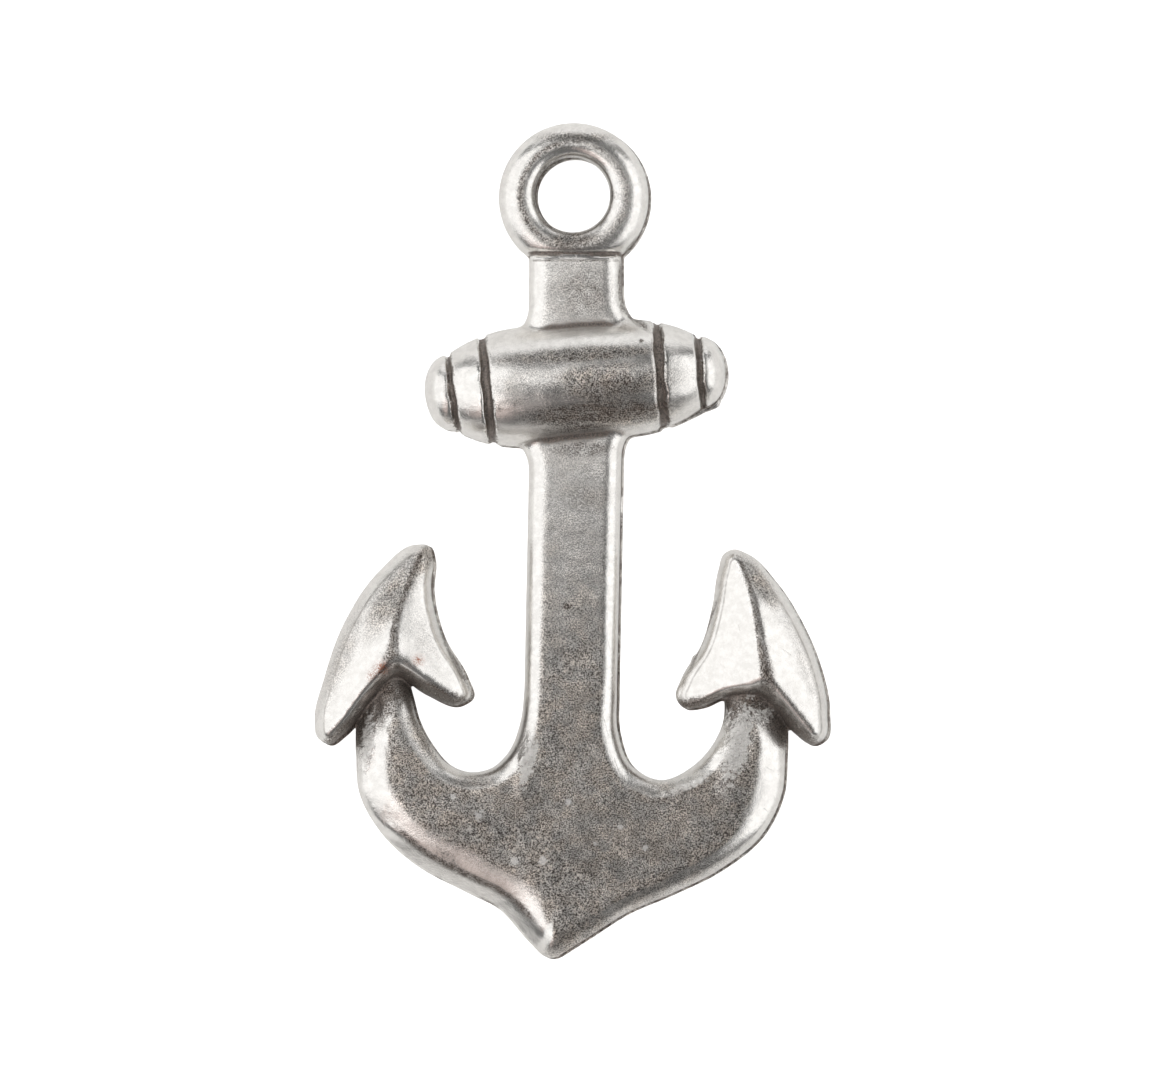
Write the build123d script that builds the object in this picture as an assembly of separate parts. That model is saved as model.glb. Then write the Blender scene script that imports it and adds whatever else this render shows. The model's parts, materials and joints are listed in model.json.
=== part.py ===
"""Anchor pendant: one white-metal casting with an eye, neck, stock, shank, crown, arms and flukes.

Millimetres. The pendant lies on its plain back: +Z points out of the modelled face, +Y from the
crown's tip towards the eye, and +X to the right of someone who looks at the face. The casting is
laid out about the middle of the stock, and is moved at the end so that the middle of its
bounding box stands over the origin.
"""
from build123d import *
import os
from math import cos, radians, sin, sqrt, tan

# Heights above the surface that the pendant lies on
PART_LINE = 1.2          # the two mould halves meet here, where the outline is widest
PLATE_HEIGHT = 2.5       # flat face of neck, shank and crown
FACE_ROUNDING = 0.95     # round of the plate's front edges
BACK_ROUNDING = 0.45     # round of the back's edges

# Eye
EYE_BORE_RADIUS = 1.8
EYE_OUTER_RADIUS = 3.6
EYE_LAND = 0.8           # straight wall of the bore, along its axis
EYE_CREST_OFFSET = 0.55  # from the bore's wall out to the crest of the rim
EYE_HEIGHT = 2.6         # crest of the rim above the surface
EYE_BACK_ROUNDING = 0.55
EYE_SHIFT = -0.07        # eye's centre, right of the stock's middle

# Neck, between the stock and the eye
NECK_WIDTH = 4.45
NECK_LENGTH = 8.8        # stock's axis to the eye's centre
NECK_STEP = 1.0          # from the bore's wall out to the step at the neck's upper end

# Stock, the barrel across the shank
STOCK_LENGTH = 14.5
STOCK_RADIUS = 2.87
STOCK_TILT = 4.3         # degrees that its right end stands higher
GROOVE_WIDTH = 0.44
GROOVE_DEPTH = 0.24
END_GROOVE_WIDTH = 0.36
END_FLAT = 0.3           # radius of the flat in the middle of each round end
WEB_RADIUS = 1.75        # hollow round where neck and shank run into the stock
WEB_LEVEL = 0.84         # share of the stock's radius at which the hollow rounds end

# Shank
SHANK_WIDTH = 4.45
SHANK_LENGTH = 19.12     # stock's axis to the foot of the shank
SHANK_SHIFT = 0.1        # middle of its upper end, right of the stock's middle
SHANK_LEAN = 0.41        # how far the foot stands to the left of the upper end

# Crown and arms
CROWN_HALF_SPAN = 10.32  # crown's middle to the outside of each arm
CROWN_SHIFT = -0.22      # crown's middle, right of the stock's middle
CROWN_DROP = 8.76        # foot of the shank to the sharp corner under the crown
TIP_ROUNDING = 0.78
ARM_WIDTH = 2.65
THROAT_DEPTH = 3.75      # ends of the arms down to the foot of the shank
ARM_OVERLAP = 1.8        # how far the arms run on under the flukes

# Flukes
FLUKE_LENGTH = 9.7       # tip to the lowest corner
FLUKE_WIDTH = 7.6
FLUKE_HEIGHT = 3.5       # ridge above the surface, where it meets the lip
FLUKE_ROUNDING = 0.25    # round of its shoulders
FLUKE_BACK_SHARE = 0.94  # size of its outline on the back, against that at the mould line
FLUKE_TOP_SHARE = 0.85   # the same at the top of the ridge
OUTER_FALL = 25.0        # degrees, from the ridge down to the outer edge
INNER_FALL = 27.0        # degrees, from the ridge down to the inner edge
LIP_FOOT = 2.0           # height at which the lip over the arm starts
LIP_SLOPE = 52.0         # degrees, face of the lip

# Barrel's silhouette up to its round ends: share of half the length from the middle, share of
# the radius
BARREL = (
    dict(along=0.00, radius=1.00),
    dict(along=0.26, radius=0.985),
    dict(along=0.50, radius=0.93),
    dict(along=0.70, radius=0.78),
    dict(along=0.84, radius=0.60),
)

# Places of the grooves, share of half the length from the middle
GROOVES = (
    dict(along=-0.84, width=END_GROOVE_WIDTH),
    dict(along=-0.60, width=GROOVE_WIDTH),
    dict(along=0.565, width=GROOVE_WIDTH),
    dict(along=0.84, width=END_GROOVE_WIDTH),
)

# Crown's lower edges from each arm to the tip: share of the half span from the crown's middle,
# share of the drop below the foot of the shank
LEFT_EDGE = (
    dict(across=-1.000, down=-0.170),
    dict(across=-0.980, down=0.080),
    dict(across=-0.876, down=0.298),
    dict(across=-0.716, down=0.470),
    dict(across=-0.498, down=0.608),
    dict(across=-0.330, down=0.712),
    dict(across=-0.206, down=0.872),
)
RIGHT_EDGE = (
    dict(across=1.000, down=-0.170),
    dict(across=0.982, down=0.080),
    dict(across=0.890, down=0.300),
    dict(across=0.698, down=0.488),
    dict(across=0.465, down=0.625),
    dict(across=0.260, down=0.729),
    dict(across=0.084, down=0.860),
)
TIP = dict(across=-0.102, down=1.0)

# Throats from each arm to the shank: share of the way from the arm's inner side to the shank's
# side, share of the throat's depth above the foot of the shank
LEFT_THROAT = (
    dict(across=0.005, up=1.05),
    dict(across=0.060, up=0.768),
    dict(across=0.175, up=0.461),
    dict(across=0.340, up=0.198),
    dict(across=0.555, up=0.096),
    dict(across=0.733, up=0.160),
    dict(across=0.856, up=0.326),
    dict(across=0.975, up=0.770),
    dict(across=1.000, up=1.15),
)
RIGHT_THROAT = (
    dict(across=0.050, up=1.05),
    dict(across=0.060, up=0.768),
    dict(across=0.150, up=0.461),
    dict(across=0.320, up=0.182),
    dict(across=0.603, up=-0.004),
    dict(across=0.860, up=0.182),
    dict(across=0.982, up=0.615),
    dict(across=1.000, up=1.15),
)

# Fluke outlines from the middle of the arm's end, clockwise for the left one: share of the
# fluke's width outwards, share of its length upwards
LEFT_FLUKE = (
    dict(out=-0.206, up=0.778),
    dict(out=0.028, up=0.644),
    dict(out=0.237, up=0.406),
    dict(out=0.377, up=0.109),
    dict(out=0.434, up=-0.089),
    dict(out=0.415, up=-0.178),
    dict(out=0.345, up=-0.211),
    dict(out=0.250, up=-0.163),
    dict(out=0.060, up=0.020),
    dict(out=-0.085, up=0.119),
    dict(out=-0.256, up=0.040),
    dict(out=-0.478, up=-0.017),
    dict(out=-0.557, up=0.025),
    dict(out=-0.522, up=0.124),
    dict(out=-0.377, up=0.322),
    dict(out=-0.307, up=0.554),
    dict(out=-0.313, up=0.718),
    dict(out=-0.288, up=0.772),
)
RIGHT_FLUKE = (
    dict(out=-0.073, up=0.735),
    dict(out=0.098, up=0.604),
    dict(out=0.275, up=0.386),
    dict(out=0.377, up=0.198),
    dict(out=0.440, up=-0.050),
    dict(out=0.421, up=-0.183),
    dict(out=0.351, up=-0.213),
    dict(out=0.225, up=-0.153),
    dict(out=0.092, up=-0.030),
    dict(out=-0.035, up=0.020),
    dict(out=-0.212, up=0.020),
    dict(out=-0.364, up=-0.027),
    dict(out=-0.472, up=-0.030),
    dict(out=-0.519, up=0.020),
    dict(out=-0.484, up=0.114),
    dict(out=-0.358, up=0.282),
    dict(out=-0.288, up=0.475),
    dict(out=-0.250, up=0.653),
    dict(out=-0.212, up=0.735),
    dict(out=-0.149, up=0.755),
)

# Ridges, in the same shares, with the share of the ridge's height
LEFT_RIDGE = (
    dict(out=-0.294, up=0.827, height=0.54),
    dict(out=-0.161, up=0.599, height=0.71),
    dict(out=-0.073, up=0.381, height=0.89),
    dict(out=-0.066, up=0.183, height=1.00),
    dict(out=-0.098, up=-0.287, height=1.11),
)
RIGHT_RIDGE = (
    dict(out=-0.190, up=0.827, height=0.54),
    dict(out=-0.054, up=0.554, height=0.73),
    dict(out=0.009, up=0.297, height=0.92),
    dict(out=0.048, up=0.084, height=1.00),
    dict(out=0.085, up=-0.287, height=1.08),
)

# Lines of the lip's foot, one from the outer corner and one from the inner bill to the notch
LEFT_LIPS = (
    dict(out=0.350, up=-0.238, to_out=-0.098, to_up=0.119),
    dict(out=-0.080, up=0.135, to_out=-0.560, to_up=-0.050),
)
RIGHT_LIPS = (
    dict(out=0.360, up=-0.240, to_out=0.020, to_up=0.025),
    dict(out=0.060, up=0.035, to_out=-0.560, to_up=-0.045),
)

NECK_TOP = NECK_LENGTH - EYE_BORE_RADIUS - NECK_STEP
SPARE = 1.0              # how far cutting bodies reach past what they cut
RIM_SPANS = 5            # side walls that a fluke's outline is divided into
NEAR = 0.01              # two heights closer than this are the same


def barrel_radius(along):
    """Radius of the stock at a share of half its length, on straight lines between the rows."""
    along = min(abs(along), BARREL[-1]["along"])
    for inner, outer in zip(BARREL, BARREL[1:]):
        if along <= outer["along"]:
            part = (along - inner["along"]) / (outer["along"] - inner["along"])
            return STOCK_RADIUS * (inner["radius"] + part * (outer["radius"] - inner["radius"]))
    return STOCK_RADIUS * BARREL[-1]["radius"]


def shank_side(side, y):
    """X of the shank's left (-1) or right (+1) side at a height on the drawing."""
    middle = SHANK_SHIFT + SHANK_LEAN * y / SHANK_LENGTH
    return middle + side * SHANK_WIDTH / 2


def arm_inside(side):
    return CROWN_SHIFT + side * (CROWN_HALF_SPAN - ARM_WIDTH)


def crown_point(row):
    return Vector(CROWN_SHIFT + row["across"] * CROWN_HALF_SPAN,
                  -SHANK_LENGTH - row["down"] * CROWN_DROP)


def throat_point(side, row):
    y = -SHANK_LENGTH + row["up"] * THROAT_DEPTH
    inner = arm_inside(side)
    return Vector(inner + row["across"] * (shank_side(side, y) - inner), y)


def fluke_point(side, row):
    root_x = CROWN_SHIFT + side * (CROWN_HALF_SPAN - ARM_WIDTH / 2)
    root_y = -SHANK_LENGTH + THROAT_DEPTH
    return Vector(root_x + side * row["out"] * FLUKE_WIDTH, root_y + row["up"] * FLUKE_LENGTH)


def web_arc(side, up):
    """Hollow round from the plate's edge to a point just inside the stock's outline."""
    edge = side * NECK_WIDTH / 2 if up > 0 else shank_side(side, -STOCK_RADIUS - WEB_RADIUS)
    far = edge + side * WEB_RADIUS
    level = up * barrel_radius(2 * far / STOCK_LENGTH) * WEB_LEVEL + far * tan(radians(STOCK_TILT))
    centre = Vector(far, level + up * WEB_RADIUS)
    middle = centre - Vector(side, up) * WEB_RADIUS / sqrt(2)
    return Vector(edge, centre.Y), middle, Vector(far, level)


def half_outline(side, edge_rows, throat_rows):
    """The plate's outline on one side, from the neck's upper corner down to the tip."""
    throat = [throat_point(side, row) for row in reversed(throat_rows)]
    edge = [crown_point(row) for row in edge_rows]
    tip = crown_point(TIP)
    down = Vector(0, -1)
    upper = web_arc(side, 1)
    lower = web_arc(side, -1)
    arm_run = throat[-1] - throat[-2]
    arm_end = throat[-1] + arm_run * (ARM_OVERLAP / arm_run.Y)
    arm = [throat[-1], arm_end, Vector(edge[0].X, arm_end.Y), edge[0]]
    pieces = [
        Edge.make_line(Vector(upper[0].X, NECK_TOP), upper[0]),
        Edge.make_three_point_arc(*upper),
        Edge.make_line(upper[2], lower[2]),
        Edge.make_three_point_arc(*reversed(lower)),
        Edge.make_line(lower[0], throat[0]),
        Edge.make_spline(throat, tangents=[throat[0] - lower[0], arm_run]),
    ]
    pieces += [Edge.make_line(a, b) for a, b in zip(arm, arm[1:])]
    pieces.append(Edge.make_spline(edge, tangents=[down, tip - edge[-1]]))
    pieces.append(Edge.make_line(edge[-1], tip))
    return pieces


def make_plate():
    """Neck, shank, crown and arms, with a flat face and rounded edges."""
    left = half_outline(-1, LEFT_EDGE, LEFT_THROAT)
    right = half_outline(1, RIGHT_EDGE, RIGHT_THROAT)
    step = Edge.make_line(left[0].position_at(0), right[0].position_at(0))
    outline = Face(Wire([step] + left + right))
    up = Vector(0, 0, 1)
    plate = extrude(outline, amount=PLATE_HEIGHT, dir=up)
    front = [edge for edge in plate.edges()
             if edge.bounding_box().min.Z > PART_LINE and edge.center().Y < NECK_TOP - NEAR]
    plate = plate.fillet(FACE_ROUNDING, front)
    tip = outline.vertices().sort_by_distance(crown_point(TIP))[0]
    rounded = outline.fillet_2d(TIP_ROUNDING, [tip])
    plate = plate & extrude(rounded, amount=PLATE_HEIGHT, dir=up)
    back = [edge for edge in plate.edges() if edge.bounding_box().max.Z < NEAR]
    return plate.fillet(BACK_ROUNDING, back)


def section(x, z):
    """Upright plane through a point, with its own X along X and its own Y along Z."""
    return Plane(origin=(x, 0, z), x_dir=(1, 0, 0), z_dir=(0, -1, 0))


def make_eye():
    """Ring with a straight land in its bore, a crest near the bore and a plain back."""
    bore, rim = EYE_BORE_RADIUS, EYE_OUTER_RADIUS
    crest = bore + EYE_CREST_OFFSET
    land = (PART_LINE - EYE_LAND / 2, PART_LINE + EYE_LAND / 2)
    inside, outside = BACK_ROUNDING, EYE_BACK_ROUNDING
    profile = Wire([
        Edge.make_line((bore, 0, land[0]), (bore, 0, land[1])),
        Edge.make_ellipse(EYE_CREST_OFFSET, EYE_HEIGHT - land[1], section(crest, land[1]), 90, 180),
        Edge.make_ellipse(rim - crest, EYE_HEIGHT - PART_LINE, section(crest, PART_LINE), 0, 90),
        Edge.make_line((rim, 0, PART_LINE), (rim, 0, outside)),
        Edge.make_circle(outside, section(rim - outside, outside), 270, 360),
        Edge.make_line((rim - outside, 0, 0), (bore + inside, 0, 0)),
        Edge.make_ellipse(inside, land[0], section(bore + inside, land[0]), 180, 270),
    ])
    return Pos(EYE_SHIFT, NECK_LENGTH) * revolve(Face(profile), axis=Axis.Z)


def make_stock():
    """Grooved barrel with round ends, cut off flat at the back."""
    half = STOCK_LENGTH / 2
    rows = [(-row["along"], row["radius"]) for row in reversed(BARREL[1:])]
    rows += [(row["along"], row["radius"]) for row in BARREL]
    side = Edge.make_spline([Vector(along * half, radius * STOCK_RADIUS) for along, radius in rows])
    start = BARREL[-1]["along"] * half
    knob = (half - start, BARREL[-1]["radius"] * STOCK_RADIUS - END_FLAT)
    profile = Wire([
        Edge.make_line((half, 0), (half, END_FLAT)),
        Edge.make_ellipse(*knob, Plane(origin=(start, END_FLAT, 0)), 0, 90),
        side,
        Edge.make_ellipse(*knob, Plane(origin=(-start, END_FLAT, 0)), 90, 180),
        Edge.make_line((-half, END_FLAT), (-half, 0)),
        Edge.make_line((-half, 0), (half, 0)),
    ])
    barrel = revolve(Face(profile), axis=Axis.X)
    for row in GROOVES:
        cutter = Pos(row["along"] * half, barrel_radius(row["along"]))
        cutter = cutter * Rectangle(row["width"], 2 * GROOVE_DEPTH)
        barrel -= revolve(cutter, axis=Axis.X)
    barrel = Pos(0, 0, PART_LINE) * Rot(0, 0, STOCK_TILT) * barrel
    below = Box(2 * STOCK_LENGTH, 2 * STOCK_LENGTH, STOCK_LENGTH)
    return barrel - Pos(0, 0, -STOCK_LENGTH / 2) * below


def make_roof(side, ridge):
    """Body whose two faces fall away from a curved ridge to both edges of a fluke."""
    reach = FLUKE_WIDTH + SPARE
    falls = (OUTER_FALL, INNER_FALL) if side < 0 else (INNER_FALL, OUTER_FALL)
    left, right = (reach * tan(radians(fall)) for fall in falls)
    sections = []
    for row in ridge:
        point = fluke_point(side, row)
        top = row["height"] * FLUKE_HEIGHT
        corners = ((-reach, top - left), (0, top), (reach, top - right), (reach, -reach),
                   (-reach, -reach))
        corners = [Vector(point.X + x, point.Y, z) for x, z in corners]
        loop = zip(corners, corners[1:] + corners[:1])
        sections.append(Wire([Edge.make_line(a, b) for a, b in loop]))
    return Solid.make_loft(sections, False)


def make_lip(side, lips):
    """What is cut away under the two slanted faces that lead down to the arm."""
    cutter = None
    size = 4 * FLUKE_LENGTH
    for row in lips:
        start = fluke_point(side, row)
        end = fluke_point(side, dict(out=row["to_out"], up=row["to_up"]))
        run = (end - start).normalized()
        outward = Vector(run.Y, -run.X)
        if outward.Y > 0:
            outward = -outward
        lean = radians(LIP_SLOPE)
        normal = outward * sin(lean) + Vector(0, 0, cos(lean))
        face = Plane(origin=start + Vector(0, 0, LIP_FOOT), x_dir=run, z_dir=normal)
        half_space = face * Pos(0, 0, size / 2) * Box(size, size, size)
        cutter = half_space if cutter is None else cutter & half_space
    return cutter


def fluke_rim(side, outline, height, share):
    """The outline at a height, drawn in or out about its own middle."""
    points = [fluke_point(side, row) for row in outline]
    middle = sum(points, Vector()) / len(points)
    points = [middle + (point - middle) * share + Vector(0, 0, height) for point in points]
    rim = Edge.make_spline(points, periodic=True)
    return Wire([rim.trim(span / RIM_SPANS, (span + 1) / RIM_SPANS) for span in range(RIM_SPANS)])


def make_fluke(side, outline, ridge, lips):
    """Spearhead with a curved ridge, soft shoulders and a slanted lip over the arm."""
    highest = max(row["height"] for row in ridge) * FLUKE_HEIGHT
    body = Solid.make_loft([
        fluke_rim(side, outline, 0, FLUKE_BACK_SHARE),
        fluke_rim(side, outline, PART_LINE, 1),
        fluke_rim(side, outline, highest, FLUKE_TOP_SHARE),
    ], False)
    fluke = (body & make_roof(side, ridge)).solid()
    walls = [face for face in fluke.faces() if face.bounding_box().min.Z < PART_LINE]
    roofs = [face for face in fluke.faces() if face.bounding_box().min.Z > PART_LINE]
    rims = [edge for face in walls for edge in face.edges()]
    shoulders = [edge for face in roofs for edge in face.edges()
                 if any(edge.is_same(rim) for rim in rims)]
    fluke = fluke.fillet(FLUKE_ROUNDING, shoulders)
    return fluke - make_lip(side, lips)


def make_casting():
    """The whole casting, moved so that the middle of its box stands over the origin."""
    casting = make_plate()
    casting += make_eye()
    casting += make_stock()
    casting += make_fluke(-1, LEFT_FLUKE, LEFT_RIDGE, LEFT_LIPS)
    casting += make_fluke(1, RIGHT_FLUKE, RIGHT_RIDGE, RIGHT_LIPS)
    middle = casting.bounding_box().center()
    print("eye's centre", round(EYE_SHIFT - middle.X, 3), round(NECK_LENGTH - middle.Y, 3))
    return Pos(-middle.X, -middle.Y) * casting


os.makedirs("parts", exist_ok=True)
export_step(make_casting(), "parts/anchor.step")
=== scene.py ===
"""Looks of the anchor pendant: an antiqued silver casting that lies on a pale floor.

The casting is formed here from the same drawing as the solid, softened as a tumbled casting is,
with its two mould halves a little out of line. The drawing is in millimetres about the middle of
the stock, with +Y towards the eye, and the mesh is in metres in the shared frame.
"""
import json
from math import ceil, cos, pi, radians, sin, tan

import bpy
import numpy as np
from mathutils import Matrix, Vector


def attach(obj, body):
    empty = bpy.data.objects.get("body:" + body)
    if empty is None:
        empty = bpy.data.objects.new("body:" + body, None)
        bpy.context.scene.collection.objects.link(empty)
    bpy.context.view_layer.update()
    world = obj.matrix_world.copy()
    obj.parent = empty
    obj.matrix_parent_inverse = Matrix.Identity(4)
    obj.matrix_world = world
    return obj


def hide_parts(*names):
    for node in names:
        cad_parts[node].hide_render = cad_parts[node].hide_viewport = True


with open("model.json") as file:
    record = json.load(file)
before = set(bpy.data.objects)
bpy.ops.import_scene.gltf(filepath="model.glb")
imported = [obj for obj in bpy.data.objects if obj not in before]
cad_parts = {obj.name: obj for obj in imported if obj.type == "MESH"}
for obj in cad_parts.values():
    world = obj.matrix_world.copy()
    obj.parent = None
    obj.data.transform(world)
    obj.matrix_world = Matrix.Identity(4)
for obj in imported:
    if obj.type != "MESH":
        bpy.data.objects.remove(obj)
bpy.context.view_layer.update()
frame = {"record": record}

MM = 0.001
SEED = 7

# Heights above the floor
PART_LINE = 1.2
PLATE_HEIGHT = 2.5
EYE_HEIGHT = 2.6

# Eye and neck
EYE_BORE_RADIUS = 1.8
EYE_OUTER_RADIUS = 3.6
EYE_CREST = 0.63             # share of the ring's width from its outside in to the crest
EYE_OUTER_RISE = 1.15        # height of the round from the crest down to the outside
EYE_INNER_RISE = 0.6         # height of the round from the crest down to the hole
EYE_SHIFT = -0.07
HOLE_OFFSET = (-0.06, 0.13)  # the hole isn't quite in the ring's middle
NECK_WIDTH = 4.45
NECK_LENGTH = 8.8
NECK_TOP = 6.0
STEP_SAG = 0.06              # the step at the neck's top is a little hollow
CREVICE_DEPTH = 0.13
CREVICE_WIDTH = 0.13
CREVICE_PLACE = 0.14         # how far over that step the crevice runs
CREVICE_ENDS = (2.6, 1.7)    # distances from the middle between which it begins

# Stock
STOCK_LENGTH = 14.5
STOCK_RADIUS = 2.87
STOCK_TILT = radians(4.3)
STOCK_BELLY = 0.16           # how much fuller its lower left is
GROOVE_DEPTH = 0.26
GROOVE_FADE = 0.6            # share of that depth which is lost at the stock's sides
GROOVE_WANDER = 0.05
GROOVE_UNEVENNESS = 0.03
WEB_RADIUS = 1.75
WEB_LEVEL = 0.84

# Shank, crown and arms
SHANK_WIDTH = 4.45
SHANK_LENGTH = 19.12
SHANK_SHIFT = 0.1
SHANK_LEAN = 0.41
CROWN_HALF_SPAN = 10.32
CROWN_SHIFT = -0.22
CROWN_DROP = 8.76
TIP_ROUNDING = 0.78
ARM_WIDTH = 2.65
THROAT_DEPTH = 3.75
ARM_OVERLAP = 1.8

# Flukes
FLUKE_LENGTH = 9.7
FLUKE_WIDTH = 7.6
FLUKE_HEIGHT = 3.5
FLUKE_LEAST_HEIGHT = 0.3     # above the part line
OUTER_FALL = tan(radians(25))
INNER_FALL = tan(radians(27))
LIP_FOOT = 2.0
LIP_SLOPE = radians(62)
LIP_REACH = (5.5, 4.0)       # distances from the arm's middle between which a lip ends

# Softness of the casting
NECK_ROUND = 1.0
SHANK_ROUNDS = {-1: 1.0, 1: 0.9}
THROAT_ROUND = 1.1
ROUND_RISE = 0.95            # height of a rounding as a share of its width
FLUKE_ROUND = 0.64           # along the outer edge of a fluke
FLUKE_INNER_ROUND = 0.45     # along its inner edge
FLUKE_INNER_SIDE = -0.28     # share of the width beyond which an edge is the inner one
SHOULDER_SHADE_LINE = 0.42         # painted shade line between a fluke's rim and its faces, from the edge
LIP_HOLLOW = 0.38            # dip of the arms in front of the lips
LIP_HOLLOW_WIDTH = 0.9
RIDGE_FLAT = 0.17            # half the width of the flat along a ridge
RIDGE_WAVER = 0.3
RIDGE_SOFTNESS = 0.16
BACK_ROUND = 0.45
SLOW_WAVE_SIZE = 2.2
QUICK_WAVE_SIZE = 0.7
SLOW_UNEVENNESS = 0.022      # of the front's height
QUICK_UNEVENNESS = 0.006
FRONT_SHIFT = (-0.06, 0.03)  # the two halves of the mould don't quite meet
BACK_SHIFT = (0.08, -0.05)
FRONT_BELOW = 0.35           # how far the front half reaches below the part line
FRONT_LAYERS = 0.6           # below the part line, the depth past which no front is looked for
BACK_LAYERS = 0.3            # above the part line, the height past which no back is

# Widths over which forms run into each other
STEP_SOFTNESS = 0.22
EYE_JOIN = 0.05
STOCK_JOIN = 0.22
FLUKE_JOIN = 0.12
LIP_FEET_JOIN = 0.5
LIP_FACES_JOIN = 0.3
LIP_EDGE_SOFTNESS = 0.35
BACK_JOIN = 0.15
STOCK_BACK_SOFTNESS = 0.3

# Grid that the casting is formed on, and the maps of its outlines
MESH_STEP = 0.125
GRID_MIDDLE = (CROWN_SHIFT, -8.0, 2.0)
GRID_REACH = (12.9, 20.9, 2.4)
SETTLING_TURNS = 3
LINE_STEP = 0.12
MAP_STEP = 0.06
MAP_MARGIN = 1.3
MAP_BLUR = 9                 # cells over which a rounding's width changes
POINTS_AT_ONCE = 8192

# Barrel's outline: share of half the length, share of the radius
BARREL = ((0.00, 1.00), (0.26, 0.985), (0.50, 0.93), (0.70, 0.78), (0.84, 0.60))
# Grooves: place as a share of half the length, half width, strength, lean
GROOVES = ((-0.815, 0.13, 1.0, 0.06), (-0.585, 0.20, 1.1, 0.02), (0.565, 0.21, 1.0, 0.0),
           (0.828, 0.13, 0.9, 0.0))

# Crown's lower edges: share of the half span, share of the drop, width of the front's rounding
LEFT_EDGE = (
    (-1.000, -0.170, 1.5), (-0.980, 0.080, 1.5), (-0.876, 0.298, 1.6), (-0.716, 0.470, 1.85),
    (-0.498, 0.608, 2.0), (-0.330, 0.712, 2.0), (-0.206, 0.872, 1.5),
)
RIGHT_EDGE = (
    (1.000, -0.170, 1.3), (0.982, 0.080, 1.35), (0.890, 0.300, 1.3), (0.698, 0.488, 1.15),
    (0.465, 0.625, 1.05), (0.260, 0.729, 1.0), (0.084, 0.860, 0.95),
)
TIP = (-0.102, 1.0, 1.2)
# Bevel of the crown's outer edges: slopes in degrees from the flat outwards, and the distances
# from the edge where they change, on the arms and on the lower left
ARM_BEVEL = ((27, 50, 60), (0.28, 0.12))
LOW_BEVEL = ((21, 38, 45), (0.95, 0.62))
BEVEL_SOFTNESS = (0.5, 0.15, 0.12)
BEVEL_TURN = (-20.8, -22.4)  # places up the drawing between which the left bevel changes
BEVEL_FROM = (1.15, 1.38)    # widths of the rounding between which it turns into the bevel
BEVEL_STEEPNESS = 0.85       # turns a height over the bevel into a distance from it

# Throats: share of the way from the arm to the shank, share of the throat's depth
LEFT_THROAT = (
    (0.005, 1.05), (0.060, 0.768), (0.175, 0.461), (0.340, 0.198), (0.555, 0.096),
    (0.733, 0.160), (0.856, 0.326), (0.975, 0.770), (1.000, 1.15),
)
RIGHT_THROAT = (
    (0.050, 1.05), (0.060, 0.768), (0.150, 0.461), (0.320, 0.182), (0.603, -0.004),
    (0.860, 0.182), (0.982, 0.615), (1.000, 1.15),
)

# Fluke outlines from the middle of the arm's end: share of the width outwards, of the length up
LEFT_FLUKE = (
    (-0.206, 0.778), (0.028, 0.644), (0.237, 0.406), (0.377, 0.109), (0.434, -0.089),
    (0.415, -0.178), (0.345, -0.211), (0.250, -0.163), (0.060, 0.020), (-0.085, 0.119),
    (-0.256, 0.040), (-0.478, -0.017), (-0.557, 0.025), (-0.522, 0.124), (-0.377, 0.322),
    (-0.307, 0.554), (-0.313, 0.718), (-0.288, 0.772),
)
RIGHT_FLUKE = (
    (-0.073, 0.735), (0.098, 0.604), (0.275, 0.386), (0.377, 0.198), (0.440, -0.050),
    (0.421, -0.183), (0.351, -0.213), (0.225, -0.153), (0.092, -0.030), (-0.035, 0.020),
    (-0.212, 0.020), (-0.364, -0.027), (-0.472, -0.030), (-0.519, 0.020), (-0.484, 0.114),
    (-0.358, 0.282), (-0.288, 0.475), (-0.250, 0.653), (-0.212, 0.735), (-0.149, 0.755),
)
# Ridges: the same shares, and the share of the fluke's height
LEFT_RIDGE = (
    (-0.294, 0.827, 0.54), (-0.161, 0.599, 0.71), (-0.073, 0.381, 0.89),
    (-0.066, 0.183, 1.00), (-0.098, -0.287, 1.11),
)
RIGHT_RIDGE = (
    (-0.190, 0.827, 0.54), (-0.054, 0.554, 0.73), (0.009, 0.297, 0.92),
    (0.048, 0.084, 1.00), (0.085, -0.287, 1.08),
)
# Dark stripe along the ridges: place up the drawing, half width
RIDGE_STRIPE = ((-15.5, 0.40), (-13.8, 0.34), (-12.4, 0.25), (-11.0, 0.19), (-9.0, 0.15))
RIDGE_STRIPE_INSET = 0.2     # how far inside a fluke's edge it ends
# Feet of the lips, from one end to the other
LEFT_LIPS = (((0.350, -0.238), (-0.098, 0.119)), ((-0.080, 0.135), (-0.560, -0.050)))
RIGHT_LIPS = (((0.360, -0.240), (0.020, 0.025)), ((0.060, 0.035), (-0.560, -0.045)))

# Flash at the part line: both ends and how far it reaches
FLASH = ((3.9, -2.08, 6.6, -0.92, 0.20), (5.42, -13.75, 5.62, -13.25, 0.20))
FLASH_THICKNESS = 0.3
# Rust spots: place, radius, strength
RUST_SPOTS = ((-7.55, -13.34, 0.24, 1.3), (-9.28, -13.72, 0.32, 1.5), (-9.75, -14.1, 0.25, 1.0))
# Bare specks on the crown: place, radius
LIGHT_SPECKS = (
    (-4.63, -20.78, 0.22), (-2.95, -22.94, 0.20), (-1.60, -22.94, 0.19), (2.1, -21.3, 0.12),
    (0.9, -22.1, 0.11), (-0.4, -20.1, 0.12), (3.3, -22.3, 0.11), (-5.9, -19.9, 0.12),
)
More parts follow.
